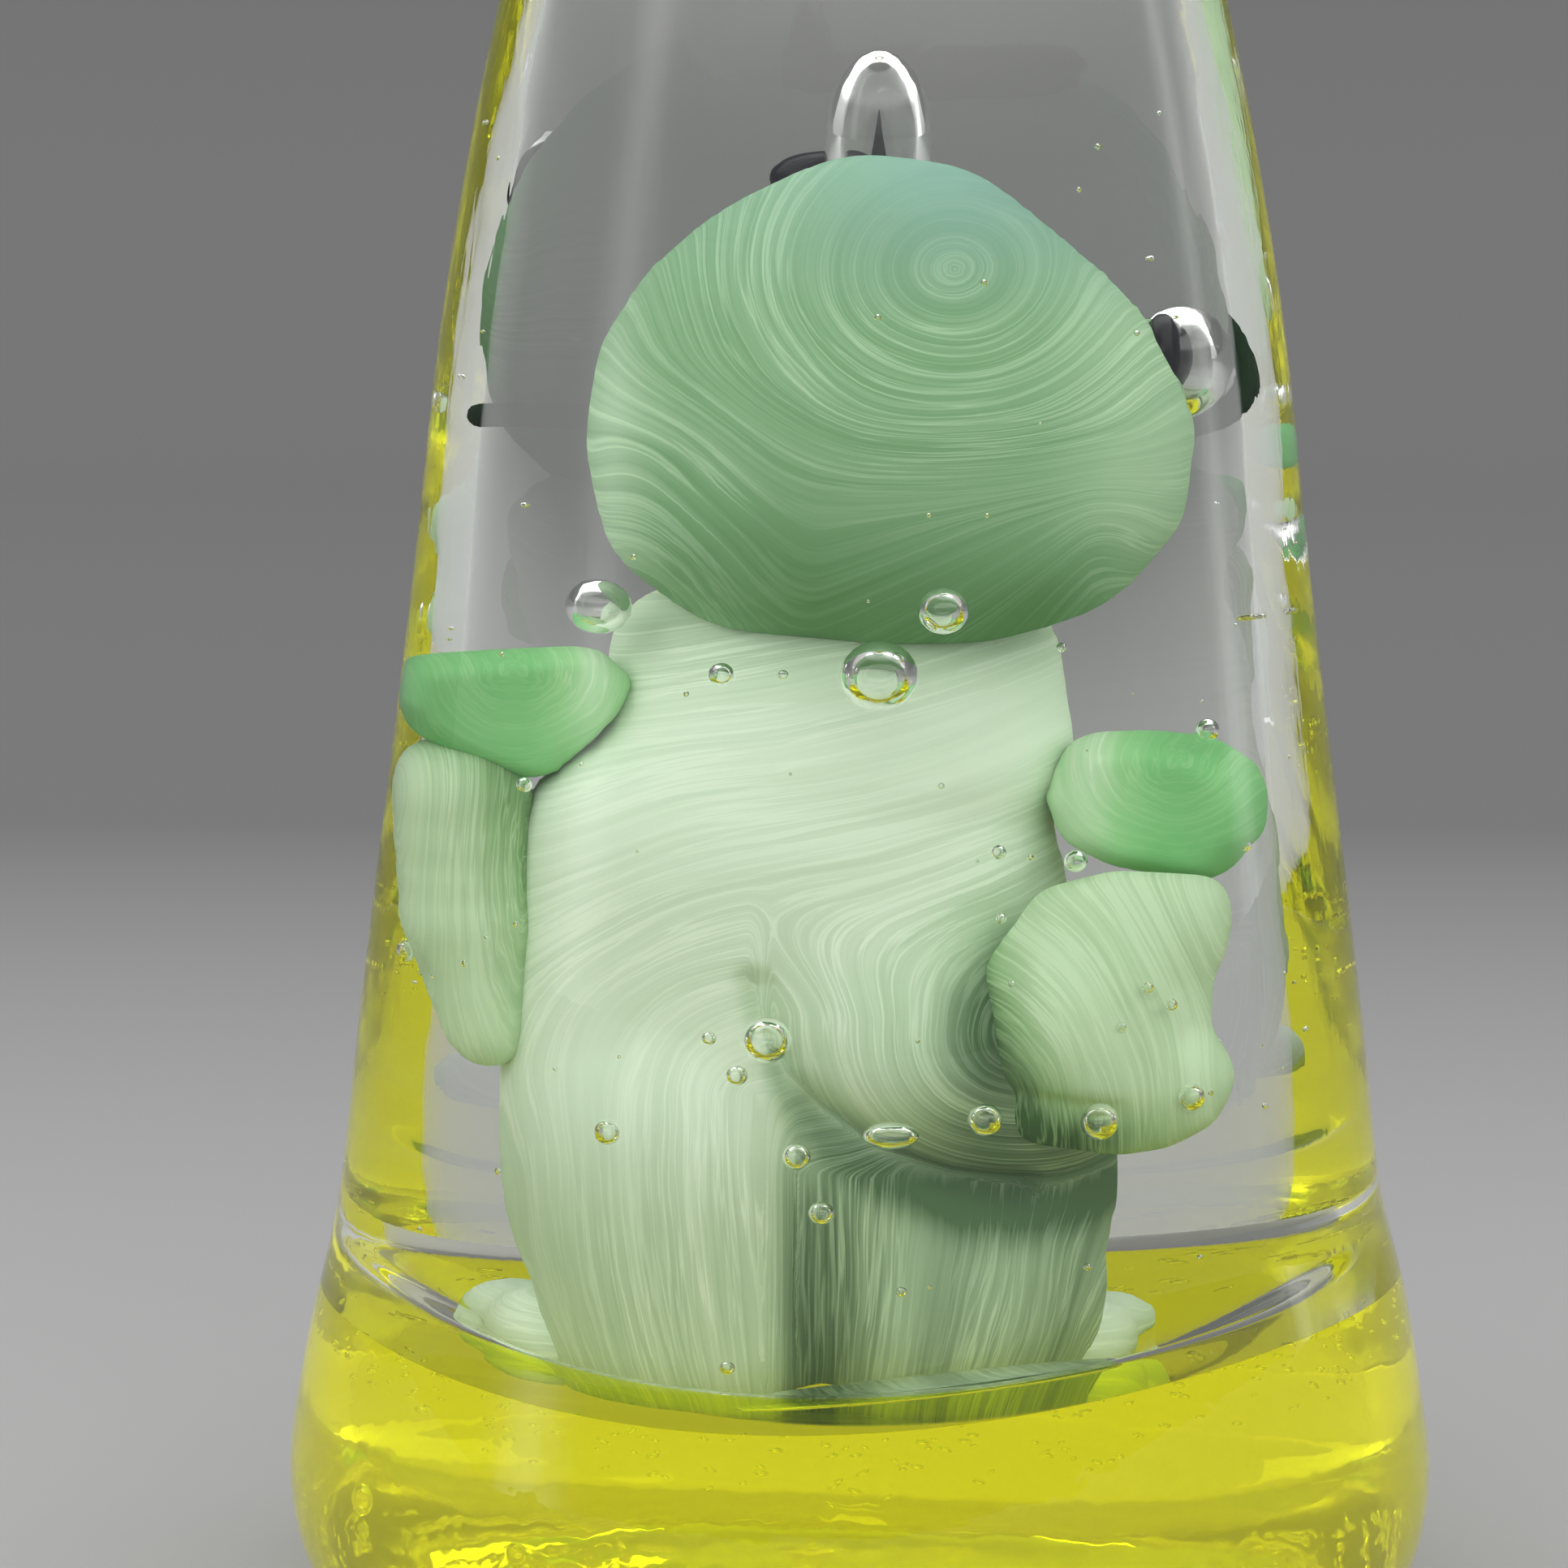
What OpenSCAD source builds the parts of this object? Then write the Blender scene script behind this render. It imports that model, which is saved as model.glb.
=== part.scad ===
// Solid glass paperweight: a tapered clear casing, oval in plan, fused on a tinted glass foot.
// A small green frog-like figure, made of separate gathers of opaque glass, is sealed inside.
// +Z is up along the casing's axis, and the origin is the centre of the foot's flat underside.
// The figure's back faces -Y and its face +Y. Left and right are as seen from -Y.

/* [Glass body] */
// Overall height
total_h = 98; // [94:0.5:104]
// Depth of the oval glass body from front to back, as a share of its width
oval = 0.81; // [0.79:0.01:0.9]
// Largest width of the foot
foot_d = 45.8; // [44:0.2:49]
// Height at which the foot is widest
foot_widest_z = 8.0; // [7:0.2:9]
// Width of the flat underside
flat_d = 28.4; // [24:0.2:32]
// Height of the fused joint between the foot and the clear casing, at the rim
joint_z = 14.8; // [14:0.1:16]
// Width at that joint
joint_d = 43.1; // [42.5:0.1:43.7]
// Depth of the dish in the top of the foot
seat_drop = 4.8; // [4:0.1:5.4]
// Width of the casing at the figure's waist
waist_d = 40.0; // [39:0.1:41]
// Width of the casing at the middle of the figure's head
head_level_d = 33.5; // [33:0.1:35]

/* [Figure] */
// Height of the head's centre
head_z = 48.8; // [48:0.1:50]
// Width of the head's round core
head_w = 15.2; // [14:0.1:16]
// How much broader the leaning head is than it is deep
head_breadth = 1.14; // [1.1:0.01:1.18]
// Clockwise lean of the head, in degrees
head_lean = 41; // [30:1:45]
// Width of the torso at the hips
hip_w = 18.6; // [17.6:0.1:19]
// Height of the shoulders
shoulder_z = 37.9; // [37:0.1:38.5]
// Diameter of each eye's flattened pupil
pupil_d = 3.6; // [3:0.1:4]
// Height of the trapped air dome over the upper eye
dome_h = 3.6; // [2.5:0.1:4]

/* [Hidden] */

body_fn = 44;      // facets round the glass body
form_fn = 20;      // facets round each gather of the figure
bubble_fn = 12;    // facets round each air bubble
curve_steps = 7;   // straight steps in each curve of the outline

foot_r = foot_d / 2;
flat_r = flat_d / 2;
joint_r = joint_d / 2;
waist_r = waist_d / 2;
head_level_r = head_level_d / 2;
waist_z = 25;
head_level_z = 49.5;
tip_r = 6.3;                // radius where the rounded tip begins
tip_z = total_h - 7;

body_x = -1.5;              // the figure stands a little left of the axis
hip_r = hip_w / 2;
head_r = head_w / 2;
head_centre = [0.7, 0.2, head_z];
pupil_r = pupil_d / 2;
upper_eye = [-0.9, 2.4, head_z + 8.8];
upper_dome = [0.5, 1.6, head_z + 10.3];
side_eye = [8.8, 1.4, head_z + 2.7];
side_dome = [9.3, 1.4, head_z + 2.8];
shoulder_left = [-10.9, 0, shoulder_z + 0.3];
shoulder_right = [9.2, -1.2, shoulder_z - 3.2];
neck_pocket = [-7.1, -0.6, 41.8];

// ---- outline of the glass body ----
function curve_point(p, t) =
    pow(1 - t, 3) * p[0] + 3 * t * pow(1 - t, 2) * p[1]
    + 3 * t * t * (1 - t) * p[2] + pow(t, 3) * p[3];
function curve(p) = [for (i = [1:curve_steps]) curve_point(p, i / curve_steps)];

function foot_side() = concat(
    curve([[flat_r, 0], [flat_r + 5.2, 0], [foot_r, foot_widest_z - 5.2], [foot_r, foot_widest_z]]),
    curve([[foot_r, foot_widest_z], [foot_r, foot_widest_z + 2.2],
           [joint_r + 0.5, joint_z - 1.9], [joint_r, joint_z]]));

function casing_side() = concat(
    curve([[joint_r, joint_z], [joint_r - 0.8, joint_z + 3.1],
           [waist_r + 0.45, waist_z - 3.6], [waist_r, waist_z]]),
    curve([[waist_r, waist_z], [waist_r - 1, waist_z + 8],
           [head_level_r + 0.95, head_level_z - 8.5], [head_level_r, head_level_z]]),
    curve([[head_level_r, head_level_z], [head_level_r - 1.5, head_level_z + 13],
           [tip_r + 4.7, tip_z - 13.5], [tip_r, tip_z]]),
    curve([[tip_r, tip_z], [tip_r - 1.6, tip_z + 4.4], [tip_r * 0.43, total_h], [0, total_h]]));

function seat() = [for (i = [curve_steps - 1:-1:0])
    let (u = i / curve_steps) [joint_r * u, joint_z - seat_drop * (1 - u * u)]];

module foot_solid() {
    scale([1, oval, 1]) rotate_extrude($fn = body_fn)
        polygon(concat([[0, 0], [flat_r, 0]], foot_side(), seat()));
}

module casing_solid() {
    scale([1, oval, 1]) rotate_extrude($fn = body_fn)
        polygon(concat([[0, joint_z - seat_drop]],
                       [for (i = [curve_steps - 1:-1:1]) seat()[i - 1]],
                       [[joint_r, joint_z]], casing_side()));
}

// ---- forms of the figure's gathers, before their neighbours are cut away ----
module ball(centre, radii, facets = form_fn) {
    translate(centre) scale(radii) sphere(r = 1, $fn = facets);
}

module torso_form() {
    hull() {
        ball([body_x - 0.8, 0, 33.7], [8.0, 6.0, 5.0]);
        ball([body_x, 0.4, 19.6], [hip_r, 7.4, 9.9]);
    }
}

module left_leg_form() {
    hull() {
        ball([body_x - 4.2, -3.0, 21.2], [5.2, 4.9, 5.4]);
        ball([body_x - 3.3, -2.9, 13.9], [5.0, 5.4, 4.1]);
    }
}

module right_leg_form() {
    hull() ball([body_x + 4.7, -3.0, 15.9], [4.8, 5.2, 6.1]);
}

module hip_lobe_form() {
    hull() {
        ball([3.9, -3.9, 25.3], [6.0, 4.3, 5.2]);
        ball([0.9, -4.6, 27.5], [3.7, 3.0, 3.0]);
    }
}

module neck_form() {
    hull() {
        ball([body_x + 0.7, 0, 36.9], [7.6, 5.8, 3.0]);
        ball([-0.3, 0, 41.6], [6.2, 5.2, 2.4]);
    }
}

module head_form() {
    translate(head_centre) scale([head_breadth, 1, 1]) rotate([0, head_lean, 0]) hull() {
        ball([0, 0, -0.2], [head_r, 7.2, 8.0]);
        ball([-4.8, 0.4, 4.7], [3.3, 3.9, 3.3]);
        ball([3.8, 0.4, 4.0], [3.5, 3.9, 3.4]);
        ball([4.2, 0, 0.3], [4.3, 5.6, 4.3]);
        ball([3.0, 0, -2.6], [4.2, 5.8, 4.2]);
    }
}

module left_shoulder_form() {
    hull() {
        ball(shoulder_left + [2.5, 0.2, -0.2], [2.0, 2.3, 2.4]);
        ball(shoulder_left + [-2.6, 0, 0.1], [2.0, 2.0, 1.5]);
    }
}

module left_forearm_form() {
    hull() {
        ball([-12.9, 0.2, 34.1], [2.5, 2.4, 2.7]);
        ball([-11.8, 0.1, 26.5], [2.0, 2.0, 2.1]);
    }
}

module right_shoulder_form() {
    hull() ball(shoulder_right, [3.6, 3.0, 2.8]);
}

module right_hand_form() {
    hull() {
        ball([9.4, -4.0, 29.6], [2.9, 2.2, 2.2]);
        ball([10.5, -4.4, 23.9], [1.9, 1.8, 1.8]);
        ball([5.7, -6.7, 24.8], [2.2, 1.9, 2.6]);
    }
}

module left_foot_form() {
    hull() ball([-9.8, 1.0, 13.4], [1.9, 4.6, 2.1]);
}

module right_foot_form() {
    hull() ball([6.7, 1.2, 13.3], [2.0, 4.6, 1.8]);
}

module pupil_form(centre, flatness) {
    ball(centre, pupil_r * flatness, bubble_fn);
}

module mouth_form() {
    translate(head_centre) scale([head_breadth, 1, 1])
        rotate([0, head_lean * 0.4, 0]) translate([0, 0.6, -2.4])
        rotate([0, 0, 30]) rotate_extrude(angle = 120, $fn = 32)
            translate([6.9, 0]) circle(d = 0.9, $fn = 8);
}

module figure() {
    torso_form();
    left_leg_form();
    right_leg_form();
    hip_lobe_form();
    neck_form();
    head_form();
    mouth_form();
    left_shoulder_form();
    left_forearm_form();
    right_shoulder_form();
    right_hand_form();
    left_foot_form();
    right_foot_form();
}

module air() {
    ball(upper_dome, [1.6, 1.5, dome_h], bubble_fn);
    ball(side_dome, [1.5, 1.6, 2.1], bubble_fn);
    ball(neck_pocket, [1.1, 1.1, 1.1], bubble_fn);
}

// ---- sub-parts ----
module clear_casing() {
    color([0.86, 0.90, 0.88, 0.35]) difference() {
        casing_solid();
        figure();
        air();
    }
}

module yellow_foot() {
    color([0.93, 0.90, 0.05, 0.7]) foot_solid();
}

module torso() {
    color([0.76, 0.86, 0.74]) difference() {
        torso_form();
        foot_solid();
    }
}

module left_leg() {
    color([0.72, 0.81, 0.67]) difference() {
        left_leg_form();
        torso_form();
        foot_solid();
    }
}

module right_leg() {
    color([0.62, 0.70, 0.57]) difference() {
        right_leg_form();
        torso_form();
        left_leg_form();
        foot_solid();
    }
}

module hip_lobe() {
    color([0.66, 0.75, 0.61]) difference() {
        hip_lobe_form();
        torso_form();
        left_leg_form();
        right_leg_form();
        right_shoulder_form();
        right_hand_form();
    }
}

module neck() {
    color([0.73, 0.82, 0.68]) difference() {
        neck_form();
        torso_form();
        head_form();
    }
}

module head() {
    color([0.48, 0.64, 0.48]) head_form();
}

module mouth() {
    color([0.22, 0.34, 0.22]) difference() {
        mouth_form();
        head_form();
    }
}

module left_eye() {
    color([0.03, 0.03, 0.04]) difference() {
        pupil_form(upper_eye, [1, 0.7, 0.8]);
        head_form();
    }
}

module right_eye() {
    color([0.03, 0.03, 0.04]) difference() {
        pupil_form(side_eye, [0.65, 0.9, 1]);
        head_form();
    }
}

module left_shoulder() {
    color([0.42, 0.64, 0.42]) difference() {
        left_shoulder_form();
        torso_form();
        neck_form();
    }
}

module left_forearm() {
    color([0.68, 0.77, 0.60]) difference() {
        left_forearm_form();
        torso_form();
        left_shoulder_form();
    }
}

module right_shoulder() {
    color([0.42, 0.64, 0.42]) difference() {
        right_shoulder_form();
        torso_form();
        neck_form();
    }
}

module right_hand() {
    color([0.66, 0.77, 0.60]) difference() {
        right_hand_form();
        torso_form();
        right_shoulder_form();
        right_leg_form();
    }
}

module left_foot() {
    color([0.70, 0.79, 0.61]) difference() {
        left_foot_form();
        torso_form();
        left_leg_form();
        foot_solid();
    }
}

module right_foot() {
    color([0.62, 0.70, 0.51]) difference() {
        right_foot_form();
        torso_form();
        right_leg_form();
        foot_solid();
    }
}

clear_casing();
yellow_foot();
torso();
left_leg();
right_leg();
hip_lobe();
neck();
head();
mouth();
left_eye();
right_eye();
left_shoulder();
left_forearm();
right_shoulder();
right_hand();
left_foot();
right_foot();
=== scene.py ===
"""Looks for a solid glass paperweight: a tapered clear casing fused on a lemon-yellow foot.

A small green frog-like figure, gathered from opaque glass, is sealed inside with trapped air.
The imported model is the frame. Pieces are shaped in millimetres and written out in metres.
"""

import logging
import math
from abc import ABC, abstractmethod
from collections.abc import Callable
from dataclasses import dataclass, field
from enum import Enum
from typing import ClassVar

import bmesh
import bpy
import numpy as np
from mathutils import Matrix, Vector

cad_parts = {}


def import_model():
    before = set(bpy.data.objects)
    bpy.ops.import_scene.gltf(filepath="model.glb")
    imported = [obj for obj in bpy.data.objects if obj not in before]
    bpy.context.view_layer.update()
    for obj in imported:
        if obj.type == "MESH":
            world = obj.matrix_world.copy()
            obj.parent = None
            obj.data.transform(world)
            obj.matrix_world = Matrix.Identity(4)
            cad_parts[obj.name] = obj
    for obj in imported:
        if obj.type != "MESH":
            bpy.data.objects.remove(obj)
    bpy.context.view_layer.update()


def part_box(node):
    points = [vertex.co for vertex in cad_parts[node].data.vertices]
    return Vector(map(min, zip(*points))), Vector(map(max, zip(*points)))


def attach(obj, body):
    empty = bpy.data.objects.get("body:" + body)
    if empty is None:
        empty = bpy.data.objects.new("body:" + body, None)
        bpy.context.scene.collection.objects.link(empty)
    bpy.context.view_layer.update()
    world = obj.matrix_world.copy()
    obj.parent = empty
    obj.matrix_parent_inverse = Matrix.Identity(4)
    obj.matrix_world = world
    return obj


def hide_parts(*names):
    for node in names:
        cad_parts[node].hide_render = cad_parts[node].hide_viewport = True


MM = 0.001
BODY = "root"
FLOW = "flow"
# The share of painted reflection, a cool sheen on the crown, is stored under this attribute.
SHEEN = "cool_sheen"
ORIGIN = (0, 0, 0)
LOG = logging.getLogger("paperweight")

Form = bmesh.types.BMesh
Piece = bpy.types.Object
Socket = bpy.types.NodeSocket
Sockets = bpy.types.bpy_prop_collection
Colour = tuple[float, float, float, float]
Value = Socket | float | Colour
Outline = tuple[tuple[float, float], ...]


class Slot(Enum):
    """The record's material slots."""

    CLEAR = "clear_glass"
    YELLOW = "yellow_glass"
    PALE = "pale_green_glass"
    HEAD = "head_green_glass"
    LEAF = "leaf_green_glass"
    DARK = "dark_green_glass"
    BLACK = "black_glass"


def srgb(red: int, green: int, blue: int) -> Colour:
    """Turns an 8-bit display colour into a linear one.

    Args:
        red, green, blue: display values from 0 to 255.

    Returns:
        The linear colour, with an alpha of 1.
    """
    linear = []
    for value in (red, green, blue):
        share = value / 255.0
        linear.append(share / 12.92 if share <= 0.04045 else ((share + 0.055) / 1.055) ** 2.4)
    return (linear[0], linear[1], linear[2], 1.0)


def ramp(values: np.ndarray | float, low: float, high: float) -> np.ndarray | float:
    """Rises smoothly from 0 at low to 1 at high.

    Args:
        values: the numbers to place on the ramp.
        low: the value where the ramp starts.
        high: the value where it ends, which may be below low.

    Returns:
        The ramp's height for each value.
    """
    share = np.clip((values - low) / (high - low), 0.0, 1.0)
    return share * share * (3.0 - 2.0 * share)


def bell(values: np.ndarray, width: float) -> np.ndarray:
    """Falls smoothly from 1 at 0 towards 0 on both sides."""
    return np.exp(-(values / width) ** 2)


def to_mesh(name: str, bm: Form) -> Piece:
    """Writes a bmesh in millimetres out as an object in metres, on the one body.

    Args:
        name: the piece's name.
        bm: the finished bmesh, which is freed.

    Returns:
        The new object, at the origin.
    """
    bmesh.ops.scale(bm, vec=(MM, MM, MM), verts=bm.verts)
    piece = to_object(name, bm)
    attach(piece, BODY)
    return piece


def to_object(name: str, bm: Form) -> Piece:
    """Writes a bmesh in metres out as a smooth object in the scene.

    Args:
        name: the object's name.
        bm: the finished bmesh, which is freed.

    Returns:
        The new object, at the origin.
    """
    for face in bm.faces:
        face.smooth = True
    mesh = bpy.data.meshes.new(name)
    bm.to_mesh(mesh)
    bm.free()
    made = bpy.data.objects.new(name, mesh)
    bpy.context.collection.objects.link(made)
    return made


def icosphere_ways(detail: int) -> tuple[Form, np.ndarray]:
    """Makes a ball of even triangles.

    Args:
        detail: how often its faces are divided.

    Returns:
        The ball's bmesh, and the unit way out to each of its vertices.
    """
    bm = bmesh.new()
    bmesh.ops.create_icosphere(bm, subdivisions=detail, radius=1.0)
    ways = np.array([vert.co[:] for vert in bm.verts])
    return bm, ways / np.linalg.norm(ways, axis=1)[:, None]


@dataclass(frozen=True)
class Place:
    """A box in millimetres, with points inside it given as shares of its half sizes."""

    centre: np.ndarray
    half: np.ndarray

    @classmethod
    def of(cls, node: str) -> "Place":
        """Gives the box round a node of the frame."""
        low, high = (np.array(tuple(corner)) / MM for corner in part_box(node)[:2])
        return cls((low + high) / 2.0, (high - low) / 2.0)

    def at(self, across: float, back: float, up: float) -> np.ndarray:
        """Gives the point at these shares of the half sizes from the centre."""
        return self.centre + self.half * np.array((across, back, up))

    def size(self, across: float, back: float, up: float) -> np.ndarray:
        """Gives a size from shares of the half sizes."""
        return self.half * np.array((across, back, up))

    def seen(self, across: float, up: float) -> tuple[float, float]:
        """Gives a point as it is seen from the back, as X and Z."""
        return tuple(self.at(across, 0, up)[[0, 2]])


@dataclass(frozen=True)
class Ball:
    """One rounded lump of a gather, an ellipsoid."""

    centre: np.ndarray
    radii: np.ndarray

    def gap(self, points: np.ndarray) -> np.ndarray:
        """Estimates each point's distance outside the ball, negative inside.

        Args:
            points: points in millimetres, one a row.

        Returns:
            The distances in millimetres.
        """
        shares = (points - self.centre) / self.radii
        near = np.linalg.norm(shares, axis=1)
        steep = np.linalg.norm(shares / self.radii, axis=1)
        return near * (near - 1.0) / np.maximum(steep, 1e-9)


def between(first: Ball, last: Ball, count: int) -> list[Ball]:
    """Fills the stretch from one ball to another with balls that change evenly.

    Args:
        first, last: the two end balls.
        count: how many balls there are in all.

    Returns:
        The balls in order, ends included.
    """
    return [Ball(first.centre * (1 - share) + last.centre * share,
                 first.radii * (1 - share) + last.radii * share)
            for share in np.linspace(0.0, 1.0, count)]


def rim(place: Place, outline: Outline, rounding: float, depth: float, back: float = 0.0) -> list[Ball]:
    """Sets balls just inside an outline, for a form that is drawn taut round them.

    Args:
        place: the box the outline is given in.
        outline: the outline's corners as shares of the box's half sizes, seen from the back.
        rounding: the balls' radius in the outline's plane, as such a share.
        depth: their radius along Y, as such a share.
        back: their centre along Y, as such a share.

    Returns:
        One ball for each corner.
    """
    balls = []
    for across, up in outline:
        inward = 1.0 - rounding / math.hypot(across, up)
        balls.append(Ball(place.at(across * inward, back, up * inward), place.size(rounding, depth, rounding)))
    return balls


@dataclass(frozen=True)
class Crease:
    """A groove pressed into a gather's back, along a path seen from the back."""

    path: Outline
    width: float
    depth: float
    back_only: bool = True

    def press(self, points: np.ndarray) -> np.ndarray:
        """Gives how deep the groove is at each point.

        Args:
            points: points in millimetres, one a row.

        Returns:
            The depth, none on the face side where the groove is only in the back.
        """
        spots = points[:, [0, 2]]
        nearest = np.full(len(spots), np.inf)
        for start, end in zip(self.path[:-1], self.path[1:]):
            origin = np.array(start)
            run = np.array(end) - origin
            share = np.clip((spots - origin) @ run / (run @ run), 0.0, 1.0)
            nearest = np.minimum(nearest, np.linalg.norm(spots - origin - share[:, None] * run, axis=1))
        depth = self.depth * bell(nearest, self.width)
        return depth * ramp(points[:, 1], 1.0, -3.0) if self.back_only else depth


class Flow(ABC):
    """How the streaks of a gather were drawn out over its surface."""

    @abstractmethod
    def lines(self, points: np.ndarray) -> np.ndarray:
        """Gives the streak coordinates of some points.

        Args:
            points: points in millimetres, one a row.

        Returns:
            Across the streaks, along them, and the tone from 0, pale, to 1, deep.
        """


@dataclass(frozen=True)
class ArcFlow(Flow):
    """Streaks that bend round one spot, as where a hot gather was twisted off."""

    spot: tuple[float, float]
    stretch: tuple[float, float]
    pale_side: tuple[float, float, float]
    tone_reach: tuple[float, float]
    tone_limits: tuple[float, float] = (0.0, 1.0)
    patch: tuple[float, float, float] | None = None

    def lines(self, points: np.ndarray) -> np.ndarray:
        """Bends the streaks round the spot; the tone deepens away from the pale side.

        Args:
            points: points in millimetres, one a row.

        Returns:
            Across the streaks, along them, and the tone.
        """
        side = (points[:, 0] - self.spot[0]) / self.stretch[0]
        rise = (points[:, 2] - self.spot[1]) / self.stretch[1]
        along = np.abs(np.arctan2(side, rise)) * 3.0 + points[:, 1] * 0.25
        way = np.array(self.pale_side)
        low, high = self.tone_limits
        tone = low + (high - low) * ramp(points @ (way / np.linalg.norm(way)), *self.tone_reach)
        if self.patch:
            patch_x, patch_z, reach = self.patch
            tone += 0.5 * bell(np.hypot(points[:, 0] - patch_x, (points[:, 2] - patch_z) * 2.0), reach)
        return np.column_stack((np.hypot(side, rise), along, tone))


@dataclass(frozen=True)
class BodyFlow(Flow):
    """Level streaks over the back that turn down over the hips into the legs."""

    place: Place
    bend: tuple[float, float]
    crease_x: float
    lobe_edge: Outline
    fold: tuple[float, float]

    def lines(self, points: np.ndarray) -> np.ndarray:
        """Follows the streaks over the back, round both hips and down the legs.

        Args:
            points: points in millimetres, one a row.

        Returns:
            Across the streaks, along them, and the tone, which here is painted shade.
        """
        x, y, z = points.T
        bend_x, bend_z = self.bend
        fold_x, fold_z = self.fold
        lift = 0.012 * (x - self.place.at(-1, 0, 0)[0]) ** 2
        taper = np.sqrt(np.clip(1.0 - ((z - bend_z) / (self.place.half[2] * 1.25)) ** 2, 0.2, 1.0))
        taper = np.where(z < bend_z, taper, 1.0)
        side = np.maximum(bend_x - (x - self.crease_x) / taper - self.crease_x, 0.0)
        hip = np.hypot(side, np.maximum(z - lift - bend_z, 0.0))
        right = (x - self.crease_x) / taper * 0.9 + 9.0
        on_right = ramp(x, bend_x + 0.2, bend_x + 1.4) * ramp(z, bend_z + 1.0, bend_z - 2.5)
        across = hip * (1.0 - on_right) + right * on_right
        edge_x, edge_z = zip(*self.lobe_edge)
        above = z - np.interp(x, edge_x, edge_z)
        swept = np.hypot((x - fold_x) * 0.9, z - fold_z) + 0.65
        on_lobe = ramp(above, -0.1, 0.25) * ramp(x, edge_x[0] - 0.3, edge_x[0] + 0.6) * ramp(z, 33.0, 27.5)
        across = across * (1.0 - on_lobe) + swept * on_lobe
        along = z * 0.4 + x * 0.3 + y * 0.1
        # Painted shade: darker below the bend and over the right leg, along the leg crease and just under the
        # head.
        shade = 0.12 + 0.30 * ramp(z, bend_z + 3.0, bend_z - 7.0) + 0.32 * on_right
        shade += 0.30 * bell(x - self.crease_x, 1.1) * ramp(z, bend_z - 1.0, bend_z - 4.0)
        shade += 0.20 * ramp(z, self.place.at(0, 0, 0.95)[2], self.place.at(0, 0, 1.15)[2])
        # Painted shade in the fold beside the hand, under the lobe's edge and over the whole lobe.
        shade += 0.78 * bell(x - fold_x + 1.4, 1.9) * bell(z - fold_z, 3.8)
        shade += 0.42 * bell(above + 0.9, 1.2) * ramp(x, edge_x[0] - 0.6, edge_x[0] + 0.8)
        shade += 0.20 * on_lobe
        return np.column_stack((across, along, shade))


@dataclass(frozen=True)
class SwirlFlow(Flow):
    """A swirl on the crown over long strands that sweep up to the right from the left cheek."""

    place: Place
    swirl: tuple[float, float] = (0.175, 0.58)
    sweep: tuple[float, float] = (1.15, -0.02)
    cheek: float = -0.30

    def lines(self, points: np.ndarray) -> np.ndarray:
        """Joins the swirl's rings to the long strands.

        Args:
            points: points in millimetres, one a row.

        Returns:
            Across the streaks, along them, and the tone, painted shade over the lower face.
        """
        u, _, v = ((points - self.place.centre) / self.place.half).T
        rings = np.hypot((u - self.swirl[0]) * 0.95, v - self.swirl[1])
        left = np.maximum(self.cheek - u, 0.0)
        strands = 0.96 - 0.7 * np.arctan2(v + 0.9 * left ** 2 - self.sweep[1],
                                          np.maximum(self.sweep[0] - u, 0.05))
        strands += 0.42 * ramp(u, -0.25, -1.0)
        low = ramp(v - 0.25 * ramp(u, -0.1, -0.8), 0.05, -0.45) * ramp(u, 1.02, 0.6)
        across = rings * (1.0 - low) + strands * low
        along = (u - v) * 3.0 + points[:, 1] * 0.2
        # Painted shade: the tone is deepest over the lower middle of the face and in a spot at its lower left,
        # and lighter towards the left and right edges and the bottom left.
        tone = 0.46 + 0.34 * ramp(v, -0.35, -0.80) * ramp(u, -0.75, -0.25) * ramp(u, 0.95, 0.5)
        tone += 0.14 * bell(u + 0.55, 0.28) * bell(v + 0.52, 0.22)
        tone -= 0.26 * ramp(u, -0.70, -1.0) * ramp(v, 0.5, -0.2) + 0.20 * ramp(u, 0.40, 0.85)
        tone -= 0.30 * ramp(v, -0.80, -1.0) * ramp(u, -0.3, -0.7)
        return np.column_stack((across * self.place.half[0], along, tone))


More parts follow.
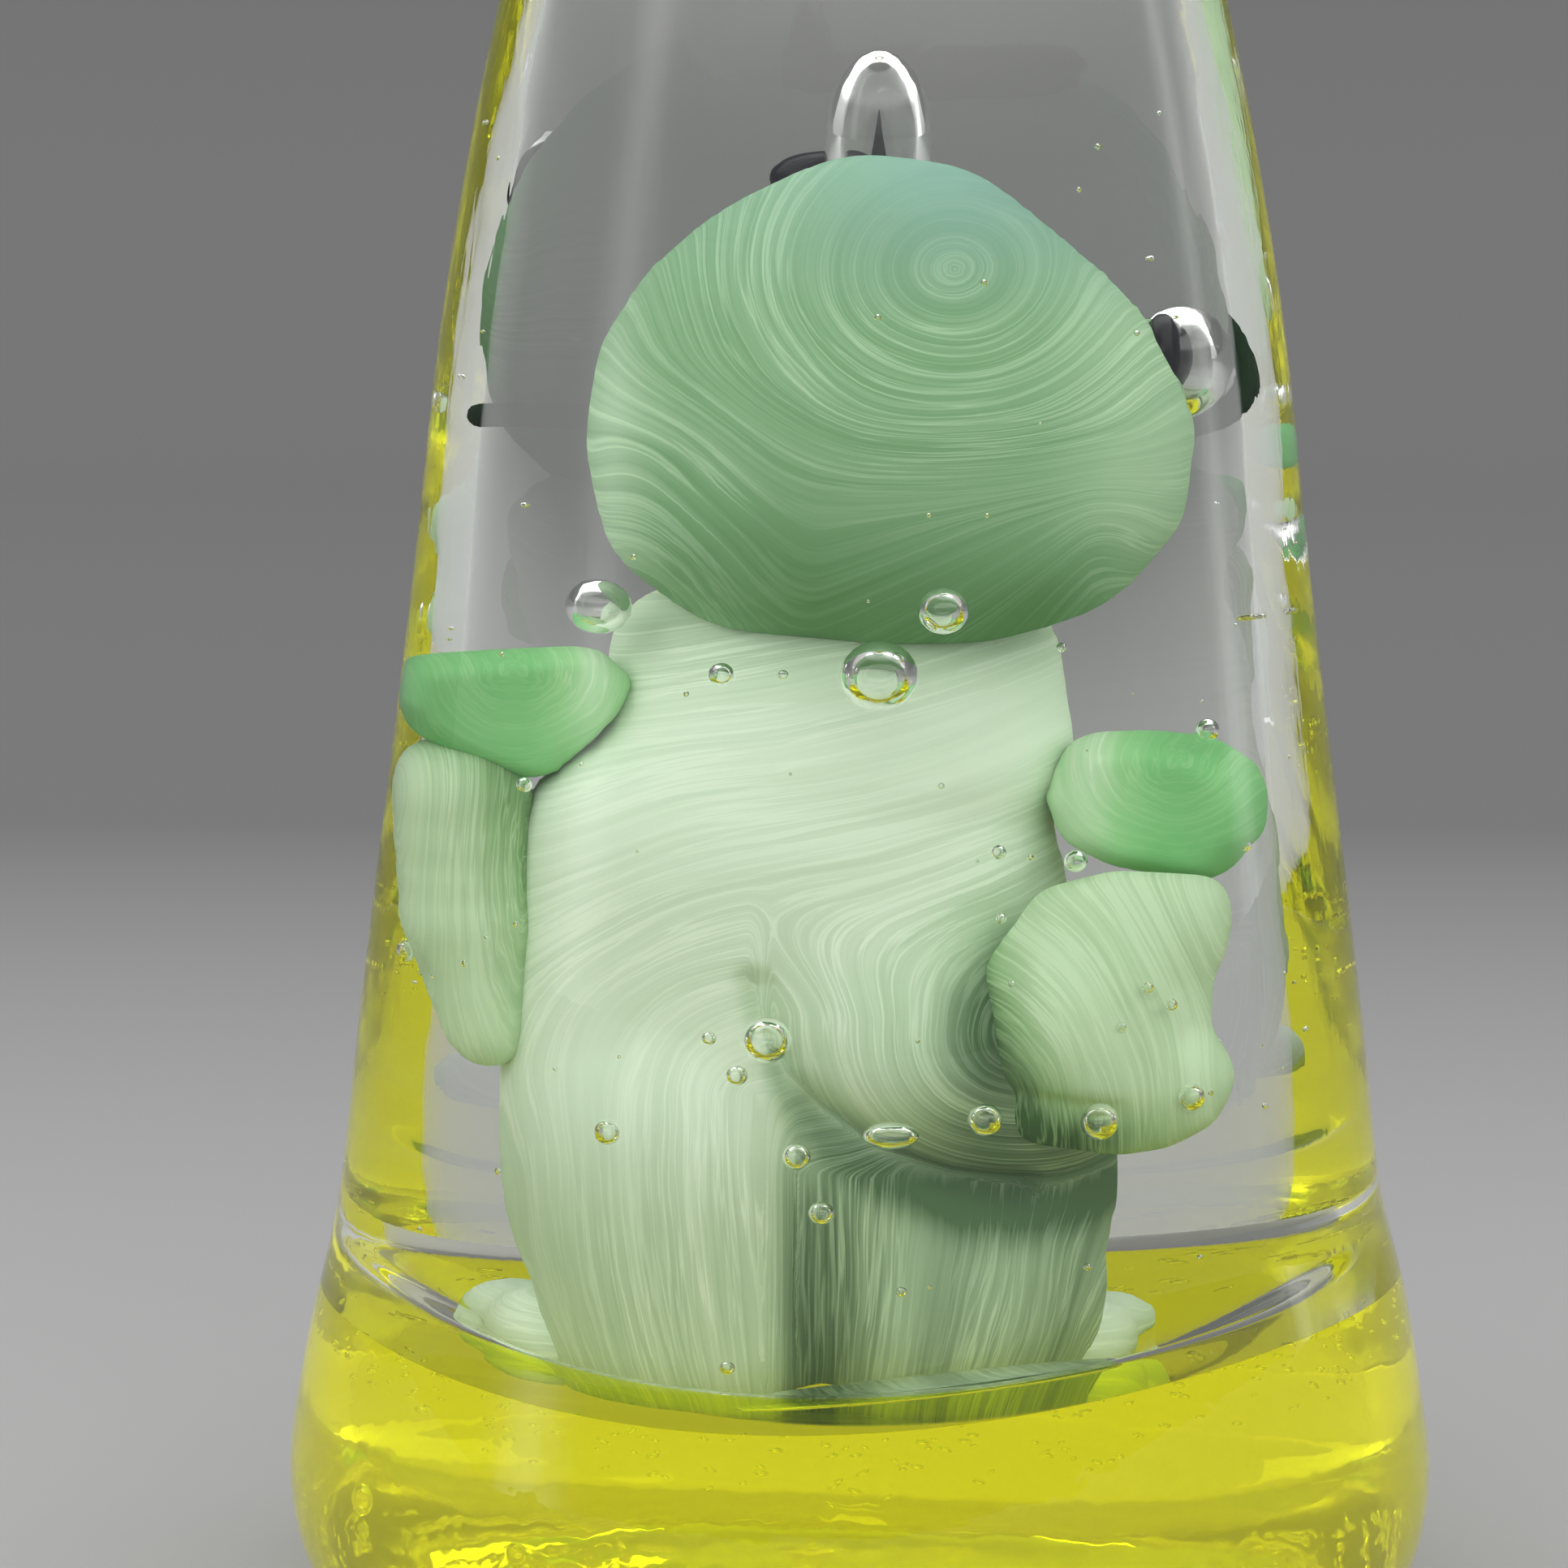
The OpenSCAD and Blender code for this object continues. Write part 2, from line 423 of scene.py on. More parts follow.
@dataclass(frozen=True)
class Wiring:
    """Adds nodes to one tree and joins them."""

    tree: bpy.types.NodeTree

    def put(self, socket: Socket, value: Value) -> None:
        """Joins an input to a node's output, or sets it to a plain value.

        Args:
            socket: the input.
            value: the output or the plain value.
        """
        if isinstance(value, Socket):
            self.tree.links.new(value, socket)
        else:
            socket.default_value = value

    def node(self, kind: str, inputs: dict[str | int, Value], **traits: object) -> bpy.types.Node:
        """Adds a node.

        Args:
            kind: the node's type, without its prefix.
            inputs: an output or a plain value for each input, by name or place.
            **traits: the node's own settings.

        Returns:
            The new node.
        """
        node = self.tree.nodes.new(f"ShaderNode{kind}")
        for trait, value in traits.items():
            setattr(node, trait, value)
        for key, value in inputs.items():
            self.put(node.inputs[key], value)
        return node

    def maths(self, kind: str, *values: Value) -> Socket:
        """Adds a node of simple arithmetic."""
        return self.node("Math", dict(enumerate(values)), operation=kind).outputs[0]

    def span(self, value: Value, low: float, high: float, start: float = 0.0,
             end: float = 1.0) -> Socket:
        """Maps low to start and high to end, clamped."""
        inputs = {"Value": value, "From Min": low, "From Max": high, "To Min": start, "To Max": end}
        return self.node("MapRange", inputs).outputs["Result"]

    def mix(self, share: Value, first: Value, second: Value) -> Socket:
        """Mixes two colours."""
        return self.node("Mix", {"Factor": share, "A": first, "B": second}, data_type="RGBA").outputs["Result"]

    def noise(self, vector: Value, scale: float, detail: float = 2.0,
              roughness: float = 0.5) -> Socket:
        """Adds a noise, from 0 to 1."""
        inputs = {"Vector": vector, "Scale": scale, "Detail": detail, "Roughness": roughness}
        return self.node("TexNoise", inputs).outputs["Fac"]

    def bump(self, height: Value, strength: float, distance: float) -> Socket:
        """Turns a height into a normal, with the distance in millimetres."""
        inputs = {"Height": height, "Strength": strength, "Distance": distance * MM}
        return self.node("Bump", inputs).outputs["Normal"]

    def place(self) -> Socket:
        """Gives the piece's own coordinates."""
        return self.node("TexCoord", {}).outputs["Object"]


@dataclass(frozen=True)
class Layer:
    """One layer of streaks: its share of the line count, its drift along them and its weight."""

    fineness: float
    drift: float
    weight: float


@dataclass(frozen=True)
class StreakGroup(Wiring):
    """The node group that paints drawn-out streaks from a piece's flow attribute."""

    NAME: ClassVar[str] = "drawn_streaks"
    FINE: ClassVar[Layer] = Layer(1.0, 0.10, 0.8)
    HAIR: ClassVar[Layer] = Layer(2.6, 0.20, 0.6)
    BROAD: ClassVar[Layer] = Layer(0.22, 0.06, 0.7)
    STRANDS: ClassVar[Layer] = Layer(0.75, 0.16, -0.42)
    STRAND_WIDTH: ClassVar[float] = 0.045
    PATCH: ClassVar[tuple[float, float]] = (-0.24, 0.14)

    @classmethod
    def get(cls) -> bpy.types.NodeTree:
        """Builds the group once.

        Returns:
            The group's node tree.
        """
        if cls.NAME in bpy.data.node_groups:
            return bpy.data.node_groups[cls.NAME]
        tree = bpy.data.node_groups.new(cls.NAME, "ShaderNodeTree")
        sockets = (("INPUT", "Color", ("Pale", "Middle", "Deep", "Sheen tint")),
                   ("INPUT", "Float", ("Lines per mm", "Contrast", "Seed")),
                   ("OUTPUT", "Color", ("Colour",)), ("OUTPUT", "Float", ("Relief",)))
        for way, kind, labels in sockets:
            for label in labels:
                tree.interface.new_socket(label, in_out=way, socket_type=f"NodeSocket{kind}")
        cls(tree).join()
        return tree

    def join(self) -> None:
        """Joins the group's nodes: four layers of streaks, then the tone's colours and the painted sheen."""
        inputs = self.tree.nodes.new("NodeGroupInput").outputs
        flow = self.node("Attribute", {}, attribute_name=FLOW).outputs["Vector"]
        sheen = self.node("Attribute", {}, attribute_name=SHEEN).outputs["Fac"]
        across, along, tone = self.node("SeparateXYZ", {0: flow}).outputs
        bent = self.plus(across, self.swing(flow, 0.30, 1.0), 0.8)
        count = self.maths("MULTIPLY", bent, inputs["Lines per mm"])
        fine, hair, broad, strands = (self.lines(layer, count, along, inputs["Seed"])
                                      for layer in (self.FINE, self.HAIR, self.BROAD, self.STRANDS))
        strands = self.span(self.maths("ABSOLUTE", strands), self.STRAND_WIDTH, 0.0)
        mixed = self.plus(self.maths("MULTIPLY", fine, self.FINE.weight), hair, self.HAIR.weight)
        mixed = self.plus(mixed, strands, self.STRANDS.weight)
        # The fine streaks fade in random patches, and more where the painted sheen lies.
        patch = self.plus(self.swing(flow, 0.22, 1.0), sheen, -0.22)
        mixed = self.maths("MULTIPLY", mixed, self.span(patch, *self.PATCH))
        mixed = self.plus(mixed, broad, self.BROAD.weight)
        tone = self.plus(tone, mixed, inputs["Contrast"])
        colour = self.mix(self.span(tone, 0.0, 0.5), inputs["Pale"], inputs["Middle"])
        colour = self.mix(self.span(tone, 0.5, 1.0), colour, inputs["Deep"])
        # Painted reflection: the sheen tint is laid over the colour by the crown's sheen share.
        colour = self.mix(self.maths("MULTIPLY", sheen, 0.75), colour, inputs["Sheen tint"])
        output = self.tree.nodes.new("NodeGroupOutput")
        self.put(output.inputs["Colour"], colour)
        self.put(output.inputs["Relief"], fine)

    def plus(self, base: Value, value: Value, weight: Value) -> Socket:
        """Adds a weighted value to another."""
        return self.maths("MULTIPLY_ADD", value, weight, base)

    def swing(self, vector: Value, scale: float, detail: float) -> Socket:
        """Adds a noise centred on zero."""
        return self.maths("SUBTRACT", self.noise(vector, scale, detail, 0.6), 0.5)

    def lines(self, layer: Layer, count: Value, along: Value, seed: Value) -> Socket:
        """Adds one layer of streaks.

        Args:
            layer: the layer's measures.
            count: how many lines there are up to here, across the streaks.
            along: the way along the streaks.
            seed: what sets one glass apart from another.

        Returns:
            The layer's value, centred on zero.
        """
        place = {"X": self.maths("MULTIPLY", count, layer.fineness),
                 "Y": self.maths("MULTIPLY", along, layer.drift), "Z": seed}
        return self.swing(self.node("CombineXYZ", place).outputs["Vector"], 1.0, 3.0)


@dataclass(frozen=True)
class Finish(ABC):
    """A material that is built once and then shared."""

    name: str

    def make(self) -> bpy.types.Material:
        """Builds the material, or finds it if it is there.

        Returns:
            The material.
        """
        if self.name in bpy.data.materials:
            return bpy.data.materials[self.name]
        material = bpy.data.materials.new(self.name)
        material.use_nodes = True
        tree = material.node_tree
        self.wire(Wiring(tree), tree.nodes["Principled BSDF"].inputs)
        return material

    @abstractmethod
    def wire(self, wiring: Wiring, shader: Sockets) -> None:
        """Sets the shader's inputs.

        Args:
            wiring: the material's node tree.
            shader: the inputs of its shader.
        """


@dataclass(frozen=True)
class StreakedGlass(Finish):
    """Opaque glass with drawn-out streaks, as it looks inside clear glass."""

    pale: Colour
    middle: Colour
    deep: Colour
    lines_per_mm: float
    contrast: float
    seed: float
    relief: float = 0.15
    relief_mm: float = 0.05
    # The tint of the painted reflection on the crown.
    sheen_tint: Colour = srgb(138, 178, 172)

    def wire(self, wiring: Wiring, shader: Sockets) -> None:
        """Paints the streaks and lifts them very slightly.

        Args:
            wiring: the material's node tree.
            shader: the inputs of its shader.
        """
        inputs = {"Pale": self.pale, "Middle": self.middle, "Deep": self.deep, "Sheen tint": self.sheen_tint,
                  "Lines per mm": self.lines_per_mm, "Contrast": self.contrast, "Seed": self.seed}
        group = wiring.node("Group", inputs, node_tree=StreakGroup.get())
        shader["Roughness"].default_value = 0.55
        shader["Specular IOR Level"].default_value = 0.0
        wiring.put(shader["Base Color"], group.outputs["Colour"])
        wiring.put(shader["Normal"], wiring.bump(group.outputs["Relief"], self.relief, self.relief_mm))


@dataclass(frozen=True)
class SolidGlass(Finish):
    """Fire-polished transparent glass, with the faint ripples left by the torch."""

    tint: Colour
    ior: float
    ripple: float = 0.0
    ripple_scale: tuple[float, float, float] = (1.0, 1.0, 1.0)
    clearness: float = 1.0

    def wire(self, wiring: Wiring, shader: Sockets) -> None:
        """Sets the glass, and ripples its wall.

        Args:
            wiring: the material's node tree.
            shader: the inputs of its shader.
        """
        shader["Base Color"].default_value = self.tint
        shader["Roughness"].default_value = 0.0
        shader["IOR"].default_value = self.ior
        shader["Transmission Weight"].default_value = self.clearness
        if self.ripple:
            spread = wiring.node("Mapping", {"Vector": wiring.place(), "Scale": self.ripple_scale})
            noise = wiring.noise(spread.outputs["Vector"], 1.0)
            wiring.put(shader["Normal"], wiring.bump(noise, 1.0, self.ripple))


@dataclass(frozen=True)
class GroundGlass(Finish):
    """Glass ground matt, as on the foot's underside, with uneven colour."""

    bright: Colour
    deep: Colour
    warm: Colour
    patches_per_m: float = 260.0

    def wire(self, wiring: Wiring, shader: Sockets) -> None:
        """Lays deeper and warmer patches over the bright colour.

        Args:
            wiring: the material's node tree.
            shader: the inputs of its shader.
        """
        shader["Roughness"].default_value = 0.7
        shader["Specular IOR Level"].default_value = 0.0
        place = wiring.place()
        colour = self.bright
        for turn, (low, high, tint) in enumerate(((0.35, 0.65, self.deep), (0.56, 0.70, self.warm))):
            inputs = {"Vector": place, "W": turn * 7.0, "Scale": self.patches_per_m, "Detail": 6.0,
                      "Roughness": 0.7}
            noise = wiring.node("TexNoise", inputs, noise_dimensions="4D")
            colour = wiring.mix(wiring.span(noise.outputs["Fac"], low, high), colour, tint)
        wiring.put(shader["Base Color"], colour)


@dataclass(frozen=True)
class BlackGlass(Finish):
    """The opaque black glass of the pupils."""

    name: str = "pupil_black"
    colour: Colour = srgb(6, 6, 8)
    cloud: Colour = srgb(16, 18, 34)
    clouds_per_m: float = 900.0

    def wire(self, wiring: Wiring, shader: Sockets) -> None:
        """Clouds the black with a little blue.

        Args:
            wiring: the material's node tree.
            shader: the inputs of its shader.
        """
        shader["Roughness"].default_value = 0.25
        shader["Specular IOR Level"].default_value = 0.1
        noise = wiring.noise(wiring.place(), self.clouds_per_m)
        wiring.put(shader["Base Color"], wiring.mix(noise, self.colour, self.cloud))


def dress(piece: Piece, slot: Slot, nodes: tuple[str, ...], *finishes: Finish) -> Piece:
    """Gives a piece its materials and hides the nodes of the frame that it replaces.

    Args:
        piece: the piece.
        slot: its material slot; not used.
        nodes: the nodes of the frame that it replaces.
        *finishes: its materials in order.

    Returns:
        The same piece.
    """
    for finish in finishes:
        piece.data.materials.append(finish.make())
    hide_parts(*nodes)
    LOG.info("%s: %d faces", piece.name, len(piece.data.polygons))
    return piece


def draw_flow(piece: Piece, lines: np.ndarray) -> None:
    """Stores the streak coordinates of a piece's vertices."""
    layer = piece.data.attributes.new(FLOW, "FLOAT_VECTOR", "POINT")
    layer.data.foreach_set("vector", lines.astype(np.float32).ravel())


@dataclass
class Gather:
    """One gather of opaque glass: rounded lumps that run together into a smooth form."""

    HULL_DETAIL: ClassVar[int] = 5
    HULL_BLOCK: ClassVar[int] = 200
    GRAZING: ClassVar[float] = 0.02
    FARTHEST: ClassVar[float] = 60.0
    HALVINGS: ClassVar[int] = 24
    POLISHING: ClassVar[int] = 8

    name: str
    nodes: tuple[str, ...]
    slot: Slot
    finish: StreakedGlass
    balls: list[Ball]
    flow: Flow
    heart: np.ndarray
    soften: float = 0.6
    creases: tuple[Crease, ...] = ()
    detail: int = 6
    sheen: Callable[[np.ndarray], np.ndarray] | None = None
    base: float = 0.0
    taut: bool = False

    def hull_reach(self, ways: np.ndarray) -> np.ndarray:
        """Gives how far it is from the heart to a taut skin drawn over all the balls.

        Args:
            ways: the unit ways out of the heart, one a row.

        Returns:
            The distance along each way.
        """
        bm, normals = icosphere_ways(self.HULL_DETAIL)
        bm.free()
        support = np.full(len(normals), -np.inf)
        for ball in self.balls:
            swell = np.linalg.norm(normals * ball.radii, axis=1)
            support = np.maximum(support, (normals @ (ball.centre - self.heart)) + swell)
        reach = np.full(len(ways), np.inf)
        for start in range(0, len(normals), self.HULL_BLOCK):
            block = slice(start, start + self.HULL_BLOCK)
            facing = ways @ normals[block].T
            away = np.where(facing > self.GRAZING, support[block] / np.maximum(facing, self.GRAZING), np.inf)
            reach = np.minimum(reach, away.min(axis=1))
        for crease in self.creases:
            reach = reach - crease.press(self.heart + ways * reach[:, None])
        return reach

    def gap(self, points: np.ndarray) -> np.ndarray:
        """Estimates each point's distance outside the whole form.

        Args:
            points: points in millimetres, one a row.

        Returns:
            The distances in millimetres, negative inside.
        """
        gaps = np.stack([ball.gap(points) for ball in self.balls])
        least = gaps.min(axis=0)
        joined = least - self.soften * np.log(np.exp((least - gaps) / self.soften).sum(axis=0))
        for crease in self.creases:
            joined = joined + crease.press(points)
        return joined

    def soft_reach(self, ways: np.ndarray) -> np.ndarray:
        """Gives how far it is from the heart to the run-together form.

        Args:
            ways: the unit ways out of the heart, one a row.

        Returns:
            The distance along each way.
        """
        near = np.zeros(len(ways))
        far = np.full(len(ways), self.FARTHEST)
        for _ in range(self.HALVINGS):
            middle = (near + far) / 2.0
            inside = self.gap(self.heart + ways * middle[:, None]) < 0.0
            near = np.where(inside, middle, near)
            far = np.where(inside, far, middle)
        return near

    def build(self) -> Piece:
        """Blows a ball out from the heart until it meets the form, and dresses it.

        Returns:
            The finished piece.
        """
        bm, ways = icosphere_ways(self.detail)
        reach = self.hull_reach(ways) if self.taut else self.soft_reach(ways)
        points = self.heart + ways * reach[:, None]
        points[:, 2] = np.maximum(points[:, 2], self.base)
        for vert, point in zip(bm.verts, points):
            vert.co = point
        if self.taut:
            for _ in range(self.POLISHING):
                bmesh.ops.smooth_vert(bm, verts=bm.verts, factor=0.5, use_axis_x=True, use_axis_y=True,
                                      use_axis_z=True)
            points = np.array([vert.co[:] for vert in bm.verts])
        bmesh.ops.recalc_face_normals(bm, faces=bm.faces)
        piece = to_mesh(self.name, bm)
        draw_flow(piece, self.flow.lines(points))
        if self.sheen:
            shine = piece.data.attributes.new(SHEEN, "FLOAT", "POINT")
            shine.data.foreach_set("value", self.sheen(points).astype(np.float32))
        return dress(piece, self.slot, self.nodes, self.finish)


@dataclass
class Figure:
    """The sealed figure, gather by gather."""

    trunk: Place = field(default_factory=lambda: Place.of("torso"))
    crown: Place = field(default_factory=lambda: Place.of("head"))
    base_z: float = 12.9

    body_glass: StreakedGlass = StreakedGlass(
        "celadon_streaked", srgb(232, 248, 224), srgb(184, 210, 174), srgb(80, 112, 74), 3.0, 0.68, 1.0)
    head_glass: StreakedGlass = StreakedGlass(
        "sage_swirled", srgb(206, 238, 200), srgb(134, 178, 132), srgb(86, 136, 74), 3.2, 0.50, 5.0)
    leaf_glass: StreakedGlass = StreakedGlass(
        "leaf_streaked", srgb(226, 248, 216), srgb(166, 224, 158), srgb(132, 206, 132), 3.0, 0.55, 9.0)
    hand_glass: StreakedGlass = StreakedGlass(
        "palm_streaked", srgb(216, 242, 202), srgb(164, 202, 148), srgb(60, 102, 46), 3.0, 0.75, 13.0)
    dark_glass: StreakedGlass = StreakedGlass(
        "dark_thread", srgb(70, 100, 70), srgb(44, 72, 46), srgb(28, 50, 32), 2.0, 0.4, 17.0)
    thread_r: float = 0.45
    mouth_r: float = 6.9
    mouth_out: float = 0.6
    mouth_drop: float = 2.4
    mouth_broad: float = 1.14
    mouth_tilt: float = 16.4
    mouth_start: float = 30.0
    mouth_sweep: float = 120.0
    tip_r: float = 0.42
    tip_end_r: float = 0.02
    tip_long: float = 2.6
    head_outline: Outline = (
        (-0.18, 1.01), (0.06, 0.99), (0.36, 0.78), (0.68, 0.46), (0.84, 0.18), (0.91, -0.18), (0.84, -0.56),
        (0.64, -0.82), (0.35, -0.95), (-0.08, -0.99), (-0.67, -0.86), (-0.88, -0.66), (-0.99, -0.25),
        (-0.96, 0.22), (-0.80, 0.55), (-0.54, 0.82))
    left_shoulder_outline: Outline = (
        (-1.01, 0.17), (-0.85, 0.73), (-0.04, 0.66), (0.83, 1.02), (1.02, 0.65), (0.98, 0.10), (0.34, -1.12),
        (-0.31, -0.78), (-0.75, -0.40))
    right_shoulder_outline: Outline = (
        (-0.69, 0.95), (-0.19, 1.02), (0.47, 0.91), (0.87, 0.53), (1.02, 0.08), (0.97, -0.47), (0.60, -0.98),
        (-0.40, -0.79), (-0.83, -0.40), (-0.97, 0.26))
    hand_outline: Outline = (
        (-0.43, 1.10), (0.10, 1.22), (0.92, 1.12), (1.02, 0.80), (1.05, -0.46), (0.89, -0.74), (0.56, -0.92),
        (0.18, -0.99), (-0.60, -0.86), (-0.86, -0.45), (-0.88, 0.0), (-0.85, 0.56))
    lobe_outline: Outline = (
        (-0.20, 0.30), (-0.18, 0.22), (-0.09, 0.07), (0.04, -0.03), (0.24, -0.13), (0.48, -0.20),
        (0.72, -0.24))

    def trunk_ball(self, at: tuple[float, float, float], size: tuple[float, float, float]) -> Ball:
        """Places a ball by shares of the trunk's half sizes."""
        return Ball(self.trunk.at(*at), self.trunk.size(*size))

    def body(self) -> Piece:
        """Shapes the torso, the legs, the hip lobe and the neck as one running form.

        Returns:
            The finished piece.
        """
        chest = self.trunk_ball((-0.09, -0.05, 0.62), (0.88, 0.81, 0.35))
        belly = self.trunk_ball((0.0, 0.03, -0.33), (1.0, 0.95, 0.70))
        collar = self.trunk_ball((0.10, -0.02, 0.80), (0.74, 0.76, 0.22))
        nape = self.trunk_ball((0.08, 0.30, 1.16), (0.67, 0.52, 0.20))
        hip = self.trunk_ball((-0.44, -0.42, -0.21), (0.55, 0.66, 0.40))
        left_leg = self.trunk_ball((-0.36, -0.36, -0.70), (0.55, 0.66, 0.30))
        right_leg = self.trunk_ball((0.48, -0.34, -0.58), (0.53, 0.64, 0.42))
        root = self.trunk_ball((0.16, -0.44, 0.34), (0.46, 0.40, 0.22))
        bulge = self.trunk_ball((0.34, -0.42, 0.12), (0.48, 0.68, 0.26))
        tail = self.trunk_ball((0.74, -0.22, -0.02), (0.34, 0.56, 0.24))
        balls = between(belly, chest, 9) + between(collar, nape, 8)
        balls += between(hip, left_leg, 4) + between(root, bulge, 5) + between(bulge, tail, 5) + [right_leg]
        crease_x = self.trunk.seen(0.02, 0)[0]
        leg_path = ((crease_x - 0.2, self.trunk.seen(0, -0.05)[1]), (crease_x, self.trunk.seen(0, -0.45)[1]),
                    (crease_x - 0.2, self.trunk.seen(0, -1.0)[1]))
        lobe_edge = tuple(self.trunk.seen(*spot) for spot in self.lobe_outline)
        flow = BodyFlow(self.trunk, self.trunk.seen(-0.2, -0.02), crease_x, lobe_edge,
                        self.trunk.seen(0.80, 0.20))
        return Gather("body_glass", ("torso", "left_leg", "right_leg", "neck", "hip_lobe"), Slot.PALE,
                      self.body_glass, balls, flow, self.trunk.centre, soften=0.35, base=self.base_z, detail=7,
                      creases=(Crease(leg_path, 1.0, 0.75), Crease(lobe_edge, 0.55, 0.8))).build()

    def limb(self, node: str, slot: Slot, finish: StreakedGlass, balls: list[Ball], flow: Flow,
             heart: np.ndarray, **settings: object) -> Piece:
        """Builds the gather that stands for one node.

        Args:
            node: the node it replaces, which it is named after.
            slot, finish: its material slot and its glass.
            balls, flow, heart: its form, its streaks and the point it is blown from.
            **settings: the gather's other fields.

        Returns:
            The finished piece.
        """
        return Gather(f"{node}_glass", (node,), slot, finish, balls, flow, heart, **settings).build()

    def head(self) -> Piece:
        """Shapes the head, flat between its two eye corners.

        Returns:
            The finished piece.
        """
        core = Ball(self.crown.at(-0.06, 0.0, -0.06), self.crown.size(0.90, 1.0, 0.90))
        balls = [core] + rim(self.crown, self.head_outline, 0.36, 0.66, -0.08)
        return self.limb("head", Slot.HEAD, self.head_glass, balls, SwirlFlow(self.crown), core.centre,
                         sheen=self.crown_sheen, taut=True)

    def crown_sheen(self, points: np.ndarray) -> np.ndarray:
        """Gives the share of painted reflection, a cool sheen laid over the crown's green, most at the top and
        along the right slope.

        Args:
            points: points in millimetres, one a row.

        Returns:
            The share of the painted sheen at each point.
        """
        up = ramp(points[:, 2], self.crown.at(0, 0, 0.25)[2], self.crown.at(0, 0, 1.0)[2])
        right = ramp(points[:, 0], self.crown.at(-0.6, 0, 0)[0], self.crown.at(0.2, 0, 0)[0])
        return up * (0.35 + 0.65 * right)

    def left_shoulder(self) -> Piece:
        """Shapes the left shoulder, drawn out to a blunt end.

        Returns:
            The finished piece.
        """
        place = Place.of("left_shoulder")
        flow = ArcFlow(place.seen(0.10, 0.9), (1.0, 1.0), (-1.0, 0.0, 0.0),
                       (-place.seen(0.80, 0)[0], -place.seen(0.15, 0)[0]), (0.40, 0.92))
        balls = rim(place, self.left_shoulder_outline, 0.30, 0.75)
        return self.limb("left_shoulder", Slot.LEAF, self.leaf_glass, balls, flow, place.at(0.1, 0, 0),
                         taut=True)

    def left_forearm(self) -> Piece:
        """Shapes the left forearm, hanging like a mitten.

        Returns:
            The finished piece.
        """
        place = Place.of("left_forearm")
        top = Ball(place.at(0.06, 0.0, 0.66), place.size(1.02, 1.0, 0.36))
        elbow = Ball(place.at(0.28, 0.0, -0.1), place.size(0.90, 0.95, 0.34))
        tip = Ball(place.at(0.50, 0.0, -0.74), place.size(0.56, 0.78, 0.30))
        flow = ArcFlow(place.seen(0.95, 0.30), (0.75, 2.8), (1.0, 0.0, 0.30),
                       (place.seen(-0.1, 0)[0] + 9.2, place.seen(1.0, 0)[0] + 11.6), (0.10, 0.95))
        balls = between(top, elbow, 4) + between(elbow, tip, 4)
        return self.limb("left_forearm", Slot.PALE, self.hand_glass, balls, flow, place.at(0.2, 0, 0), soften=0.2)

    def right_shoulder(self) -> Piece:
        """Shapes the right shoulder.

        Returns:
            The finished piece.
        """
        place = Place.of("right_shoulder")
        flow = ArcFlow(place.seen(0.30, 0.85), (1.0, 1.0), (1.0, 0.0, 0.0),
                       (place.seen(-0.7, 0)[0], place.seen(0.2, 0)[0]), (0.22, 0.95))
        balls = rim(place, self.right_shoulder_outline, 0.36, 0.80)
        return self.limb("right_shoulder", Slot.LEAF, self.leaf_glass, balls, flow, place.centre, taut=True)

    def right_hand(self) -> Piece:
        """Shapes the right hand, a fan with a dipped edge.

        Returns:
            The finished piece.
        """
        place = Place.of("right_hand")
        palm = Ball(place.at(-0.28, -0.30, 0.05), place.size(0.52, 0.66, 0.66))
        balls = rim(place, self.hand_outline, 0.26, 0.45) + [palm]
        dip = Crease((place.seen(1.02, 0.40), place.seen(1.02, 0.02)), 1.5, 1.1, back_only=False)
        palm_line = Crease((place.seen(-0.66, -0.50), place.seen(0.10, -0.62)), 0.5, 0.35)
        # The tone deepens towards the hand's left edge, painted shade in the fold beside the hip lobe; the patch
        # darkens a spot at the bottom.
        flow = ArcFlow(place.seen(-0.95, -0.70), (0.95, 1.45), (-1.0, 0.0, -0.45),
                       (-place.seen(0.1, 0)[0] - 9.6, -place.seen(-0.80, 0)[0] - 9.6), (0.15, 1.0),
                       (*place.seen(0.10, -0.78), 2.2))
        return self.limb("right_hand", Slot.PALE, self.hand_glass, balls, flow, place.centre,
                         creases=(dip, palm_line), taut=True)

    def foot(self, node: str) -> Piece:
        """Shapes one foot, a flattened pad that points forward.

        Args:
            node: the foot's node.

        Returns:
            The finished piece.
        """
        place = Place.of(node)
        heel = Ball(place.at(0.0, -0.35, -0.05), place.size(1.0, 0.65, 1.05))
        toes = Ball(place.at(0.0, 0.45, -0.1), place.size(1.1, 0.55, 0.85))
        flow = ArcFlow(place.seen(0.0, -1.4), (1.0, 1.0), (0.0, 0.0, -1.0),
                       (-place.seen(0, 1)[1], -place.seen(0, -1)[1]), (0.15, 0.5))
        return self.limb(node, Slot.PALE, self.body_glass, [heel, toes], flow, place.at(0, 0, 0.2),
                         soften=0.4, detail=5, base=self.base_z)

